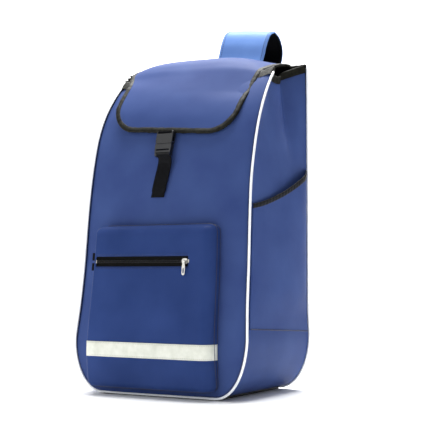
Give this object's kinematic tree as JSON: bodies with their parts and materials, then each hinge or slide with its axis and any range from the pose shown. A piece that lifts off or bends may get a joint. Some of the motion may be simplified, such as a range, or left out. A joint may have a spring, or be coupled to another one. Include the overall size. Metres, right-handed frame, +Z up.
{
  "type": "shopping trolley bag",
  "caption": "Tall soft shopping-trolley bag with a buckled lid flap, zipped box pocket, elastic-topped side pockets, reflective strip and a wide rear hanging loop.",
  "frame": {"origin": "middle of the underside, on the surface that the bag stands on", "axes": "+Z up, -Y is the front with the zipped pocket, +X is on the right seen from the front"},
  "size_m": [0.36, 0.3895, 0.666],
  "materials": {
    "body_cloth": "smooth coated polyester, satin",
    "pocket_cloth": "smooth coated polyester, satin",
    "lining": "black woven lining",
    "binding": "olive-black satin tape",
    "piping": "white vinyl piping",
    "webbing": "black woven polyester webbing",
    "buckle": "black acetal, moulded",
    "zip_tape": "black woven zip tape",
    "zip_coil": "black nylon coil",
    "zip_metal": "nickel-plated zinc",
    "reflective": "silver-grey retroreflective tape",
    "loop_cloth": "smooth coated polyester, satin",
    "hook_loop": "black hook-and-loop tape",
    "elastic": "black woven elastic tape",
    "base_cover": "black coated base cloth",
    "board": "grey polypropylene board"
  },
  "bodies": {
    "bag": {"front_panel": "body_cloth", "back_panel": "body_cloth", "side_panel_left": "body_cloth", "side_panel_right": "body_cloth", "bottom_panel": "body_cloth", "base_cover": "base_cover", "base_board": "board", "front_piping": "piping", "back_piping": "piping", "mouth_binding": "binding", "seam_tape_front": "lining", "seam_tape_back": "lining", "pocket_front": "pocket_cloth", "pocket_gusset": "pocket_cloth", "zip_tape_upper": "zip_tape", "zip_tape_lower": "zip_tape", "zip_teeth_upper": "zip_coil", "zip_teeth_lower": "zip_coil", "zip_end_stops": "zip_metal", "reflective_strip": "reflective", "side_pocket_left": "body_cloth", "side_pocket_right": "body_cloth", "side_pocket_binding_left": "elastic", "side_pocket_binding_right": "elastic", "loop_strap_front": "loop_cloth", "loop_tab": "loop_cloth", "loop_hook_tape": "hook_loop", "plug_strap": "webbing", "frame_strap_left": "webbing", "frame_strap_right": "webbing"},
    "lid": {"lid_flap": "body_cloth", "lid_lining": "lining", "lid_binding": "binding", "lid_strap": "webbing", "buckle_socket": "buckle"},
    "plug": {"buckle_plug": "buckle", "strap_tail": "webbing"},
    "slider": {"zip_slider": "zip_metal"},
    "puller": {"zip_puller": "zip_metal"},
    "loop_flap": {"loop_strap_rear": "loop_cloth", "loop_pile_tape": "hook_loop"}
  },
  "joints": [
    {"name": "lid_hinge", "type": "hinge", "parent": "bag", "child": "lid", "pos_m": [0, 0.113, 0.577], "axis": [-1, 0, 0], "range_deg": [0, 95]},
    {"name": "plug_release", "type": "slide", "parent": "bag", "child": "plug", "axis": [0, -0.2689, -0.9632], "range_m": [0, 0.02]},
    {"name": "zip_run", "type": "slide", "parent": "bag", "child": "slider", "axis": [-1, 0, 0], "range_m": [0, 0.17]},
    {"name": "puller_hinge", "type": "hinge", "parent": "slider", "child": "puller", "pos_m": [0.066, -0.13408, 0.22488], "axis": [-1, 0, 0], "range_deg": [0, 110]},
    {"name": "loop_flap_hinge", "type": "hinge", "parent": "bag", "child": "loop_flap", "pos_m": [0, 0.208, 0.6662], "axis": [1, 0, 0], "range_deg": [0, 80]}
  ]
}
